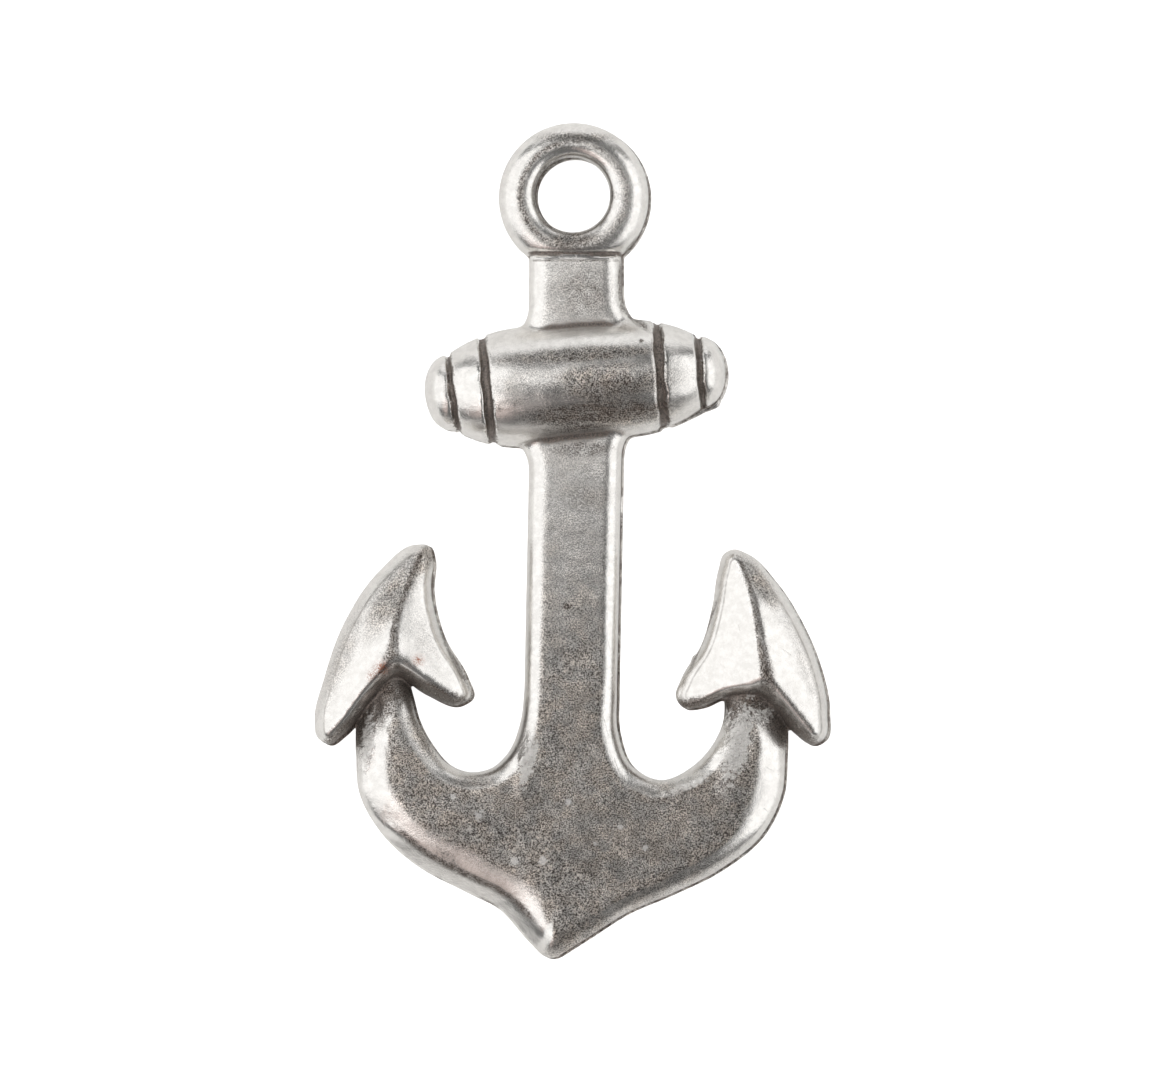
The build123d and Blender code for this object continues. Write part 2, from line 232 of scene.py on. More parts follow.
# Dark patches, of the finish and, where marked, of painted shade: place, half length, half width,
# angle, strength
DARK_AND_SHADE_PATCHES = (
    # stock: the first and the third are painted shade along its lower half
    (0.6, -1.5, 3.8, 0.6, 4, 0.70), (-3.6, -1.2, 1.6, 0.30, 14, 0.45),
    (1.7, -0.3, 2.2, 0.7, 4, 0.48), (0.2, 1.2, 3.6, 0.22, 4, 0.35),
    # flukes: tops, beside the ridges' lower ends, and painted shade lines along the inner edges
    (-8.4, -9.6, 1.9, 0.42, 58, 0.18), (9.0, -10.1, 1.5, 0.34, -52, 0.25),
    (9.1, -13.9, 1.2, 0.38, -80, 0.75), (-9.0, -13.2, 1.1, 0.3, 75, 0.6),
    (6.08, -12.2, 2.0, 0.12, 69, 0.8), (-5.85, -13.3, 1.7, 0.16, -64, 0.85),
    # neck's right edge, with its web and the corner under the eye
    (2.17, 4.6, 1.3, 0.2, -88, 0.9), (2.8, 3.05, 1.0, 0.22, -42, 0.9),
    (2.72, 6.5, 1.0, 0.2, 50, 0.85),
    # crown: painted shade below the throats, and its lower left edge
    (7.6, -18.9, 1.5, 0.5, 60, 0.45), (4.0, -19.9, 1.8, 0.4, 8, 0.4),
    (-4.9, -19.35, 2.0, 0.35, 0, 0.4), (-6.3, -22.75, 1.1, 0.4, -35, 0.45),
    # top of the shank
    (0.5, -5.5, 1.5, 0.9, 0, 0.42), (0.2, -3.2, 1.9, 0.5, 0, 0.55),
    (0.3, -2.3, 2.4, 0.35, 2, 0.5),
    # neck's face
    (0.5, 3.4, 1.5, 0.5, 0, 0.4), (0.5, 4.2, 1.6, 1.6, 0, 0.46), (1.5, 4.6, 0.5, 1.3, 0, 0.3),
    # eye
    (0.3, 6.75, 1.9, 0.5, 0, 0.42), (1.6, 8.9, 0.45, 0.45, 0, 0.5),
    # pits in the stock and the shank
    (1.0, -0.83, 0.22, 0.22, 0, 0.8), (3.1, 1.93, 0.12, 0.12, 0, 0.8),
    (-0.45, -10.74, 0.28, 0.16, 0, 0.9),
)
# Slopes made grey, by patina and, where marked, by painted shade, in the same columns
GREY_AND_SHADE_PATCHES = (
    # eye
    (-0.07, 11.68, 1.9, 0.28, 0, 0.8), (-0.07, 6.75, 1.6, 0.5, 0, 0.8),
    # stock
    (0.2, 1.25, 4.4, 0.42, 4, 0.9), (1.5, 0.0, 3.4, 1.0, 4, 0.9), (1.4, -1.5, 3.6, 0.8, 4, 0.9),
    # left fluke
    (-8.75, -10.2, 2.4, 0.75, 56, 0.85), (-7.4, -8.6, 1.4, 0.5, 50, 1.0),
    (-11.1, -13.0, 3.0, 0.5, 68, 0.45), (-7.4, -12.1, 2.4, 0.7, -72, 0.22),
    # right fluke
    (8.85, -9.7, 1.7, 0.45, -56, 0.75), (11.0, -13.6, 2.6, 0.4, -70, 0.3),
    # crown: lower right edge, tip, and painted shade on the left arm's inner edge and below the
    # throats
    (4.0, -24.3, 4.6, 0.6, 26, 0.6), (0.2, -26.5, 2.2, 0.6, 33, 1.0),
    (-7.45, -17.1, 1.7, 0.45, -58, 0.8), (-4.9, -19.15, 1.8, 0.35, 0, 0.6),
    (4.2, -19.5, 1.8, 0.35, 0, 0.6),
)
# Rough bright metal on the arms and the throats, in the same columns
FROSTED = (
    (7.75, -17.4, 2.2, 0.6, 75, 1.0), (8.9, -15.9, 0.6, 0.4, 0, 0.75),
    (-2.3, -18.2, 1.4, 0.4, 75, 1.0), (-10.0, -17.2, 1.6, 0.35, 85, 0.8),
    (7.1, -16.0, 0.5, 0.35, 70, 0.8), (5.3, -19.3, 1.3, 0.3, 20, 0.7),
)
# How grey the flats are, patina that painted shade makes greyer towards the crown: place up the
# drawing, share
GREY_AND_SHADE_LEVELS = ((-20, 1.0), (-16, 0.95), (-12, 0.64), (-5, 0.38), (0, 0.40), (4, 0.40))
FLAT_FACING = (0.93, 0.997)  # upward shares of a face's direction between which it gets flat
# How strongly the dark finish shows: patina and painted shadow under the lips, patina in the seam
# and the hole, and a painted shade line inside the rim
PATINA_AND_SHADOW_UNDER_LIPS = 1.05
IN_SEAM = 0.75
IN_HOLE = 0.7
SHADE_LINE_INSIDE_RIM = 0.8
# Hollows: rounds of averaging that make the surroundings, depth that counts in full
FINE_HOLLOW = (6, 0.035)
BROAD_HOLLOW = (60, 0.25)

# Colours of the finish, in pairs where the grain or a noise chooses between two
SILVER = ((0.79, 0.77, 0.74, 1), (0.89, 0.87, 0.84, 1))
GREY = ((0.085, 0.075, 0.068, 1), (0.82, 0.77, 0.715, 1))
GREY_SHADE = ((0.77, 0.77, 0.77, 1), (1.12, 1.11, 1.10, 1))
GREY_TINT = ((0.93, 0.99, 1.06, 1), (1.08, 0.98, 0.90, 1))
# brown-black of the patina, also used for painted shade and shadow
BROWN = ((0.040, 0.030, 0.024, 1), (0.24, 0.19, 0.158, 1))
# grey of the painted shade line along the flukes' shoulders
SHOULDER_SHADE_GREY = (0.30, 0.28, 0.26, 1)
RUST = (0.30, 0.12, 0.07, 1)
BARE_METAL = (0.95, 0.93, 0.91, 1)
# Noises of the finish: features to a millimetre, detail, roughness
BLOTCHES = (0.55, 3.0, 0.6)  # broad changes of the patina and the roughness
STREAKS = (1.1, 3.0, 0.65)   # along the barrel
CLOUDS = (3.0, 4.0, 0.65)    # in the stains and the painted shade
FRAYS = (6.0, 2.0, 0.6)      # edges of the dark lines
CRUMBS = (4.5, 4.0, 0.7)     # edges of the specks and of the rough metal
RUBS = (4.5, 2.0, 0.6)       # gaps in the grooves' dark finish
SHINES = (2.6, 5.0, 0.65)    # between the two silvers
SHADES = (1.7, 4.0, 0.65)    # light and dark in the grey
HUES = (1.3, 2.0, 0.5)       # cool and warm in the grey
DENTS = (1.6, 3.0, 0.6)      # soft dents all over
BUMPS = (2.2, 4.0, 0.65)     # of the rough metal
HAIRS = (1.4, 2.0, 0.5)      # hairline scratches
STREAK_STRETCH = (0.35, 2.4, 2.4)
HAIR_STRETCH = (0.22, 5.5, 1.0)
HAIR_TURNS = (0.6, 1.3)
GRAIN_SIZE = 0.066
SPECK_STRENGTH = 0.65
BUMP_HEIGHT = 16.0
SCRATCH_DEPTH = 0.25
RELIEF = 0.000022            # metres for a height of 1 in the material

# Floor, lights and camera, in metres
FLOOR_HALF = 0.6
FLOOR_DROP = 0.00002
WHITE = (1, 1, 1)
# Lights: name, place, facing, width and height, radiance, colour
LIGHTS = (
    ("left_softbox", (-0.18, 0.04, 0.125), (0.729, 0, -0.685), (0.34, 0.343), 1.02, WHITE),
    ("right_softbox", (0.215, 0.01, 0.095), (-0.797, 0, -0.604), (0.36, 0.215), 1.08, WHITE),
    ("far_sweep", (0, 0.35, 0.092), (0, -1, 0), (0.5, 0.184), 0.8, WHITE),
    ("near_sweep", (0, -0.30, 0.035), (0, 1, 0), (0.4, 0.07), 0.42, (1, 0.96, 0.93)),
    ("top_panel", (0, 0.030, 0.10), (0, 0, -1), (0.07, 0.05), 0.9, WHITE),
    ("pink_card", (-0.10, -0.15, 0.17), (0.10, 0.15, -0.17), (0.13, 0.19), 0.46, (1, 0.81, 0.75)),
)
WORLD_STRENGTH = 0.15
PHOTO_PIXELS = 1150
MM_PER_PIXEL = 0.048
PHOTO_WIDTH = PHOTO_PIXELS * MM_PER_PIXEL * MM
SENSOR_WIDTH = 36
CAMERA_PLACE = (0.00011, 0.00041)  # over the middle of the photo
CAMERA_DISTANCE = 0.4


def smooth_min(a, b, k):
    """The lower of two fields, with the corner between them filled over a width k."""
    h = np.maximum(k - np.abs(a - b), 0) / k
    return np.minimum(a, b) - h * h * k / 4


def smooth_max(a, b, k):
    """The higher of two fields, with the corner between them rounded over a width k."""
    return -smooth_min(-a, -b, k)


def smooth_step(low, high, value):
    """0 at the first bound and beyond, 1 at the second, with a smooth rise between them."""
    s = np.clip((value - low) / (high - low), 0, 1)
    return s * s * (3 - 2 * s)


def bell(value, width):
    """1 at zero, falling off on both sides over a width."""
    return np.exp(-(value / width)**2)


def smooth_line(rows, step=LINE_STEP, closed=False):
    """Points along a smooth line through the rows. Columns after x and y go along with them."""
    rows = np.asarray(rows, float)
    count = len(rows)
    if closed:
        rows = np.vstack([rows[-2:], rows, rows[:2]])
    gaps = np.linalg.norm(np.diff(rows[:, :2], axis=0), axis=1)[:, None]
    slopes = np.diff(rows, axis=0) / gaps
    inner = (slopes[:-1] * gaps[1:] + slopes[1:] * gaps[:-1]) / (gaps[1:] + gaps[:-1])
    tangents = np.vstack([slopes[:1], inner, slopes[-1:]])
    spans = range(2, count + 2) if closed else range(count - 1)
    line = []
    for i in spans:
        n = max(ceil(gaps[i, 0] / step), 1)
        s = np.arange(n)[:, None] / n
        a, b = rows[i], rows[i + 1]
        run_a, run_b = tangents[i] * gaps[i], tangents[i + 1] * gaps[i]
        line.append((2 * s**3 - 3 * s**2 + 1) * a + (s**3 - 2 * s**2 + s) * run_a
                    + (3 * s**2 - 2 * s**3) * b + (s**3 - s**2) * run_b)
    if not closed:
        line.append(rows[-1:])
    return np.vstack(line)


def arc(centre, radius, start, end, count=12):
    """Points along an arc between two angles."""
    angles = np.linspace(start, end, count)
    return [(centre[0] + radius * cos(a), centre[1] + radius * sin(a)) for a in angles]


def barrel_radius(along):
    """Radius of the stock at a share of half its length, up to its round ends."""
    rows = [(-a, r) for a, r in BARREL[:0:-1]] + list(BARREL)
    line = smooth_line([(a * 10, r) for a, r in rows], 0.1)
    return STOCK_RADIUS * np.interp(along * 10, line[:, 0], line[:, 1])


def shank_side(side, y):
    """Edge of the shank, which leans, at a place down its length."""
    return SHANK_SHIFT + SHANK_LEAN * y / SHANK_LENGTH + side * SHANK_WIDTH / 2


def web_points(side, up):
    """Hollow round in the corner between the plate's edge and the stock, from the eye down."""
    edge = side * NECK_WIDTH / 2 if up > 0 else shank_side(side, -STOCK_RADIUS - WEB_RADIUS)
    far = edge + side * WEB_RADIUS
    level = up * barrel_radius(2 * far / STOCK_LENGTH) * WEB_LEVEL + far * tan(STOCK_TILT)
    centre = (far, float(level) + up * WEB_RADIUS)
    start = pi if side > 0 else 0
    points = arc(centre, WEB_RADIUS, start, start + side * up * pi / 2)
    return points if up > 0 else points[::-1]


def half_outline(side, edge_rows, throat_rows):
    """The plate's edge on one side, from the eye's middle down to the tip, with its rounding."""
    rounds = SHANK_ROUNDS[side]
    throat = []
    for across, up in reversed(throat_rows):
        y = -SHANK_LENGTH + up * THROAT_DEPTH
        inner = CROWN_SHIFT + side * (CROWN_HALF_SPAN - ARM_WIDTH)
        throat.append((inner + across * (shank_side(side, y) - inner), y, THROAT_ROUND))
    throat[0] = throat[0][:2] + (rounds,)
    edge = [(CROWN_SHIFT + a * CROWN_HALF_SPAN, -SHANK_LENGTH - d * CROWN_DROP, w)
            for a, d, w in edge_rows]
    run = np.array(throat[-1]) - np.array(throat[-2])
    arm_end = np.array(throat[-1]) + run * (ARM_OVERLAP / run[1])
    rows = [(side * NECK_WIDTH / 2, NECK_LENGTH, NECK_ROUND)]
    rows += [(x, y, NECK_ROUND) for x, y in web_points(side, 1)]
    rows += [(x, y, rounds) for x, y in web_points(side, -1)]
    rows += [tuple(row) for row in smooth_line(throat)]
    rows += [tuple(arm_end[:2]) + (THROAT_ROUND,), (edge[0][0], arm_end[1], edge[0][2])]
    rows += [tuple(row) for row in smooth_line(edge)]
    return rows


def rounded_corner(before, corner, after, radius, width):
    """Points of the arc that rounds a corner, with the width of the front's rounding there."""
    before, corner, after = (np.array(p[:2]) for p in (before, corner, after))
    a = (before - corner) / np.linalg.norm(before - corner)
    b = (after - corner) / np.linalg.norm(after - corner)
    half = np.arccos(np.dot(a, b)) / 2
    bisector = (a + b) / np.linalg.norm(a + b)
    centre = corner + bisector * radius / sin(half)
    first = corner + a * radius / tan(half)
    last = corner + b * radius / tan(half)
    start = np.arctan2(*(first - centre)[::-1])
    turn = np.arctan2(*(last - centre)[::-1]) - start
    turn = (turn + pi) % (2 * pi) - pi
    return [(*point, width) for point in arc(centre, radius, start, start + turn)]


def plate_outline():
    """The whole plate's edge, down the left side, round the tip and up the right side."""
    left = half_outline(-1, LEFT_EDGE, LEFT_THROAT)
    right = half_outline(1, RIGHT_EDGE, RIGHT_THROAT)
    across, down, width = TIP
    tip = (CROWN_SHIFT + across * CROWN_HALF_SPAN, -SHANK_LENGTH - down * CROWN_DROP)
    corner = rounded_corner(left[-1], tip, right[-1], TIP_ROUNDING, width)
    return np.array(left + corner + right[::-1])


def outline_distance(x, y, line):
    """Distance to a closed line, positive inside, and the nearest point's third column."""
    ax, ay, aw = line.T
    bx, by, bw = np.roll(line, -1, axis=0).T
    dx, dy = bx - ax, by - ay
    length = np.maximum(dx * dx + dy * dy, 1e-12)
    distance = np.empty(len(x))
    width = np.empty(len(x))
    for first in range(0, len(x), POINTS_AT_ONCE):
        part = slice(first, first + POINTS_AT_ONCE)
        px, py = x[part, None] - ax, y[part, None] - ay
        s = np.clip((px * dx + py * dy) / length, 0, 1)
        square = (px - s * dx)**2 + (py - s * dy)**2
        nearest = square.argmin(axis=1)
        rows = np.arange(len(nearest))
        s = s[rows, nearest]
        above = py > 0
        below = y[part, None] - by > 0
        crossing = (above != below) & (px < dx * py / np.where(dy == 0, 1, dy))
        inside = crossing.sum(axis=1) % 2 == 1
        distance[part] = np.sqrt(square[rows, nearest]) * np.where(inside, 1, -1)
        width[part] = aw[nearest] * (1 - s) + bw[nearest] * s
    return distance, width


def blurred(grid, radius):
    """A grid averaged over a square of so many cells, twice."""
    for _ in range(2):
        for axis in (0, 1):
            pad = [(radius, radius) if a == axis else (0, 0) for a in (0, 1)]
            total = np.cumsum(np.pad(grid, pad, mode="edge"), axis=axis)
            total = np.insert(total, 0, 0, axis=axis)
            size = 2 * radius + 1
            high = np.take(total, range(size, total.shape[axis]), axis=axis)
            low = np.take(total, range(total.shape[axis] - size), axis=axis)
            grid = (high - low) / size
    return grid


def plan_map(line):
    """Reader of the distance to a closed line, and of its third column, at any place."""
    low = line[:, :2].min(axis=0) - MAP_MARGIN
    high = line[:, :2].max(axis=0) + MAP_MARGIN
    nx, ny = (np.ceil((high - low) / MAP_STEP).astype(int) + 1)
    gx, gy = np.meshgrid(low[0] + np.arange(nx) * MAP_STEP, low[1] + np.arange(ny) * MAP_STEP,
                         indexing="ij")
    distance, width = outline_distance(gx.ravel(), gy.ravel(), line)
    grids = [distance.reshape(nx, ny), blurred(width.reshape(nx, ny), MAP_BLUR)]

    def read(x, y):
        u = np.clip((x - low[0]) / MAP_STEP, 0, nx - 1.001)
        v = np.clip((y - low[1]) / MAP_STEP, 0, ny - 1.001)
        i, j = u.astype(int), v.astype(int)
        u, v = u - i, v - j
        return [g[i, j] * (1 - u) * (1 - v) + g[i + 1, j] * u * (1 - v)
                + g[i, j + 1] * (1 - u) * v + g[i + 1, j + 1] * u * v for g in grids]
    return read


def noise_map(size, seed):
    """Reader of smooth noise from -1 to 1 with features of a size."""
    values = np.random.default_rng(seed).uniform(-1, 1, (256, 256))

    def read(x, y):
        u, v = np.asarray(x) / size + 128, np.asarray(y) / size + 128
        i, j = np.floor(u).astype(int), np.floor(v).astype(int)
        u, v = u - i, v - j
        u, v = u * u * (3 - 2 * u), v * v * (3 - 2 * v)
        i, j, k, m = i % 256, j % 256, (i + 1) % 256, (j + 1) % 256
        return (values[i, j] * (1 - u) * (1 - v) + values[k, j] * u * (1 - v)
                + values[i, m] * (1 - u) * v + values[k, m] * u * v)
    return read


def fluke_place(side, out, up):
    """Place in the drawing of a fluke's shares of its width and length."""
    x = CROWN_SHIFT + side * (CROWN_HALF_SPAN - ARM_WIDTH / 2 + out * FLUKE_WIDTH)
    return x, -SHANK_LENGTH + THROAT_DEPTH + up * FLUKE_LENGTH


def lip_plane(side, start, end):
    """A point on a lip's foot, and the direction in which the lip looks."""
    a, b = (np.array(fluke_place(side, *p)) for p in (start, end))
    run = (b - a) / np.linalg.norm(b - a)
    outward = np.array((run[1], -run[0]))
    return a, -outward if outward[1] > 0 else outward


def draw_fluke(side, outline, ridge, lips):
    """A fluke's map of its outline, the line of its crest, its lips and its root."""
    rim = []
    for row in outline:
        inner = row[0] < FLUKE_INNER_SIDE or row == outline[-1]
        rim.append((*fluke_place(side, *row), FLUKE_INNER_ROUND if inner else FLUKE_ROUND))
    crest = smooth_line([(*fluke_place(side, out, up), high * FLUKE_HEIGHT)
                         for out, up, high in ridge])[::-1]
    return dict(side=side, map=plan_map(smooth_line(rim, closed=True)), crest=crest,
                planes=[lip_plane(side, *ends) for ends in lips], root=fluke_place(side, 0, 0))


PLATE = plan_map(plate_outline())
FLUKES = [draw_fluke(-1, LEFT_FLUKE, LEFT_RIDGE, LEFT_LIPS),
          draw_fluke(1, RIGHT_FLUKE, RIGHT_RIDGE, RIGHT_LIPS)]
SLOW_WAVE = noise_map(SLOW_WAVE_SIZE, SEED)
QUICK_WAVE = noise_map(QUICK_WAVE_SIZE, SEED + 1)


def stock_plan(x, y):
    """The stock seen from above: shares along it, distances across it, radius and grooves."""
    along = (x * cos(STOCK_TILT) + y * sin(STOCK_TILT)) * 2 / STOCK_LENGTH
    across = y * cos(STOCK_TILT) - x * sin(STOCK_TILT)
    groove = 0
    from_groove = np.full(np.shape(x), 1.0)
    for place, half, strength, lean in GROOVES:
        aside = (along - place) * STOCK_LENGTH / 2 + lean * across
        aside = aside + GROOVE_WANDER * QUICK_WAVE(y * 1.3, x)
        wide = half + GROOVE_UNEVENNESS * QUICK_WAVE(y, x + 9)
        groove = groove + strength * np.exp(-(aside / wide)**6)
        from_groove = np.minimum(from_groove, np.abs(aside) - wide)
    belly = STOCK_BELLY * smooth_step(0.0, -0.35, along) * smooth_step(0.0, -1.5, across)
    return dict(along=along, across=across + belly, barrel=barrel_radius(along), groove=groove,
                from_groove=from_groove)


def fluke_plan(x, y):
    """The flukes seen from above, and the hollow of the arms in front of their lips."""
    flukes = []
    dip = 0
    from_ridge = np.full(np.shape(x), 1.0)
    before_lip = np.full(np.shape(x), 9.0)
    for fluke in FLUKES:
        inside, rounding = fluke["map"](x, y)
        crest_x = np.interp(y, fluke["crest"][:, 1], fluke["crest"][:, 0])
        crest_z = np.interp(y, fluke["crest"][:, 1], fluke["crest"][:, 2])
        aside = x - crest_x
        soft = np.abs(aside) - RIDGE_FLAT * (1 + RIDGE_WAVER * QUICK_WAVE(y, x))
        soft = (soft + np.sqrt(soft**2 + RIDGE_SOFTNESS**2)) / 2
        stripe = np.abs(aside) - np.interp(y, *zip(*RIDGE_STRIPE))
        from_ridge = np.minimum(from_ridge, np.where(inside > RIDGE_STRIPE_INSET, stripe, 1.0))
        fall = np.where(aside * fluke["side"] > 0, OUTER_FALL, INNER_FALL)
        feet = [(x - a[0]) * out[0] + (y - a[1]) * out[1] for a, out in fluke["planes"]]
        foot = smooth_min(feet[0], feet[1], LIP_FEET_JOIN)
        near = smooth_step(*LIP_REACH, np.abs(x - fluke["root"][0]))
        before_lip = np.where(near > 0.5, foot, before_lip)
        dip = dip + LIP_HOLLOW * bell(np.maximum(foot, 0), LIP_HOLLOW_WIDTH) * near
        flukes.append((inside, rounding, crest_z - fall * soft, feet))
    return dict(flukes=flukes, dip=dip, from_ridge=from_ridge, before_lip=before_lip)


def plan_of(x, y):
    """Everything about the casting that depends only on the place seen from above."""
    plate, rounding = PLATE(x, y)
    eye_x, eye_y = x - EYE_SHIFT, y - NECK_LENGTH
    hole = np.hypot(eye_x - HOLE_OFFSET[0], eye_y - HOLE_OFFSET[1]) - EYE_BORE_RADIUS
    wave = SLOW_UNEVENNESS * SLOW_WAVE(x, y) + QUICK_UNEVENNESS * QUICK_WAVE(x, y)
    return dict(x=x, y=y, plate=plate, round=rounding, hole=hole, wave=wave,
                eye=EYE_OUTER_RADIUS - np.hypot(eye_x, eye_y),
                **stock_plan(x, y), **fluke_plan(x, y))


def dome(inside, width, rise, top, z):
    """Body with a flat top whose edge is rounded over a width and a rise, with upright sides."""
    u = np.maximum(1 - inside / width, 0)
    v = np.maximum((z - top) / rise + 1, 0)
    r = np.sqrt(u * u + v * v)
    steep = np.sqrt((u / width)**2 + (v / rise)**2)
    return (r - 1) * np.where(steep > 1e-6, r / np.maximum(steep, 1e-6), rise)


def bevel(plan, z):
    """Body with a flat top whose edge falls away in three straight slopes."""
    low = smooth_step(*BEVEL_TURN, plan["y"]) * (plan["x"] < CROWN_SHIFT)
    slopes = [tan(radians(a)) * (1 - low) + tan(radians(b)) * low
              for a, b in zip(ARM_BEVEL[0], LOW_BEVEL[0])]
    knots = [a * (1 - low) + b * low for a, b in zip(ARM_BEVEL[1], LOW_BEVEL[1])]
    drop = 0
    before = 0
    for slope, knot, soft in zip(slopes, [plan["round"]] + knots, BEVEL_SOFTNESS):
        run = knot - plan["plate"]
        drop = drop + (slope - before) * (run + np.sqrt(run**2 + soft**2)) / 2
        before = slope
    over = z - PLATE_HEIGHT + np.minimum(drop, PLATE_HEIGHT - PART_LINE)
    return np.maximum(BEVEL_STEEPNESS * over, -plan["plate"])


def plate_front(plan, z):
    """Front of the neck, shank, crown and arms, with its edges rounded or bevelled."""
    rise = np.minimum(ROUND_RISE * plan["round"], PLATE_HEIGHT - PART_LINE)
    rounded = dome(plan["plate"], plan["round"], rise, PLATE_HEIGHT, z)
    bevelled = smooth_step(*BEVEL_FROM, plan["round"])
    return rounded * (1 - bevelled) + bevel(plan, z) * bevelled


def eye_front(plan, step, z):
    """Front of the eye: a ring with its crest near the hole, and the crevice over the step."""
    ring = np.maximum(plan["eye"] + plan["hole"], 0.5)
    outer = dome(plan["eye"], ring * EYE_CREST, EYE_OUTER_RISE, EYE_HEIGHT, z)
    inner = dome(plan["hole"], ring * (1 - EYE_CREST), EYE_INNER_RISE, EYE_HEIGHT, z)
    crevice = CREVICE_DEPTH * bell(plan["y"] - step - CREVICE_PLACE, CREVICE_WIDTH)
    crevice = crevice * smooth_step(*CREVICE_ENDS, np.abs(plan["x"] - EYE_SHIFT))
    return np.maximum(outer, inner) + crevice


def fluke_front(inside, rounding, roof, feet, z):
    """Front of a fluke: a roof with rounded shoulders, cut off by its two slanted lips."""
    rise = np.maximum(roof - PART_LINE, FLUKE_LEAST_HEIGHT)
    body = dome(inside, rounding, rise, np.maximum(roof, PART_LINE + FLUKE_LEAST_HEIGHT), z)
    lips = [(z - LIP_FOOT) * cos(LIP_SLOPE) + foot * sin(LIP_SLOPE) for foot in feet]
    return smooth_max(body, smooth_min(*lips, LIP_FACES_JOIN), LIP_EDGE_SOFTNESS)


def stock_field(plan, z):
    """Field of the whole stock with its grooves and round ends."""
    rho = np.sqrt(plan["across"]**2 + (z - PART_LINE)**2)
    end, end_share = BARREL[-1]
    beyond = (np.abs(plan["along"]) - end) * STOCK_LENGTH / 2
    end_radius = end_share * STOCK_RADIUS
    end_length = (1 - end) * STOCK_LENGTH / 2
    knob = np.sqrt((np.maximum(beyond, 0) / end_length)**2 + (rho / end_radius)**2)
    stock = np.where(beyond > 0, (knob - 1) * end_radius, rho - plan["barrel"])
    edge = smooth_step(0.78, 1.0, np.abs(plan["across"]) / plan["barrel"])
    return stock + GROOVE_DEPTH * plan["groove"] * (1 - GROOVE_FADE * edge)


def front_field(plan, z):
    """Field of everything above the part line, negative inside."""
    z = z - plan["wave"]
    step = NECK_TOP + STEP_SAG * (plan["x"] / NECK_WIDTH * 2)**2 - STEP_SAG / 2
    plate = smooth_max(plate_front(plan, z + plan["dip"]), plan["y"] - step, STEP_SOFTNESS)
    whole = smooth_min(plate, eye_front(plan, step, z), EYE_JOIN)
    whole = smooth_min(whole, stock_field(plan, z), STOCK_JOIN)
    for fluke in plan["flukes"]:
        whole = smooth_min(whole, fluke_front(*fluke, z), FLUKE_JOIN)
    return whole


def flash(x, y):
    """Distance inside the thin fins that were squeezed out between the two halves."""
    inside = np.full(np.shape(x), -9.0)
    for ax, ay, bx, by, reach in FLASH:
        dx, dy = bx - ax, by - ay
        share = np.clip(((x - ax) * dx + (y - ay) * dy) / (dx * dx + dy * dy), 0, 1)
        away = np.hypot(x - ax - share * dx, y - ay - share * dy)
        inside = np.maximum(inside, reach * (1 + 0.5 * QUICK_WAVE(x * 1.2, y * 1.2)) - away)
    return inside


def back_field(plan, z):
    """Field of everything below the part line: upright sides and a plain flat back."""
    inside = np.where(plan["y"] > NECK_TOP, plan["eye"], np.maximum(plan["plate"], plan["eye"]))
    for fluke in plan["flukes"]:
        inside = np.maximum(inside, fluke[0])
    inside = np.minimum(inside, plan["hole"])
    fin = np.where(z > PART_LINE - FLASH_THICKNESS, flash(plan["x"], plan["y"]), -9)
    inside = np.maximum(inside, fin)
    side = np.maximum(BACK_ROUND - inside, 0)
    below = np.maximum(BACK_ROUND - z, 0)
    body = np.sqrt(side**2 + below**2) - BACK_ROUND
    stock = smooth_max(stock_field(plan, z), -z, STOCK_BACK_SOFTNESS)
    return np.maximum(smooth_min(body, stock, BACK_JOIN), -z)


def both_plans(x, y):
    """The plans of the front and the back half, which the mould left out of line."""
    return (plan_of(x - FRONT_SHIFT[0], y - FRONT_SHIFT[1]),
            plan_of(x - BACK_SHIFT[0], y - BACK_SHIFT[1]))


def front_half(plan, z):
    """Field of the front, which goes on a little below the part line, into the back half."""
    return np.maximum(front_field(plan, z), PART_LINE - FRONT_BELOW - z)


def back_half(plan, z):
    """Field of the back, cut off at the part line."""
    return np.maximum(back_field(plan, z), z - PART_LINE)


def casting_field(x, y, z):
    """Field of the whole casting at any points, negative inside, about in millimetres."""
    front, back = both_plans(x, y)
    return np.minimum(front_half(front, z), back_half(back, z))


def grid_values(low, counts):
    """The field at every corner of a grid. A layer leaves out the half that it can't reach."""
    xs, ys, zs = (low[a] + np.arange(counts[a]) * MESH_STEP for a in range(3))
    gx, gy = np.meshgrid(xs, ys, indexing="ij")
    front, back = both_plans(gx, gy)
    values = np.empty(counts, np.float32)
    for k, z in enumerate(zs):
        layer = np.full(gx.shape, 9.0)
        if z > PART_LINE - FRONT_LAYERS:
            layer = front_half(front, z)
        if z < PART_LINE + BACK_LAYERS:
            layer = np.minimum(layer, back_half(back, z))
        values[:, :, k] = layer
    return values


def crossing_places(cells, values):
    """Mean place, in cells, of the points where the edges of each cell pass zero."""
    total = np.zeros(cells.shape)
    crossings = np.zeros(len(cells))
    for axis in range(3):
        others = [a for a in range(3) if a != axis]
        for i in (0, 1):
            for j in (0, 1):
                start = cells.copy()
                start[:, others[0]] += i
                start[:, others[1]] += j
                end = start.copy()
                end[:, axis] += 1
                a, b = values[tuple(start.T)], values[tuple(end.T)]
                hit = (a < 0) != (b < 0)
                places = start[hit].astype(float)
                places[:, axis] += a[hit] / (a[hit] - b[hit])
                total[hit] += places
                crossings[hit] += 1
    return total / crossings[:, None]


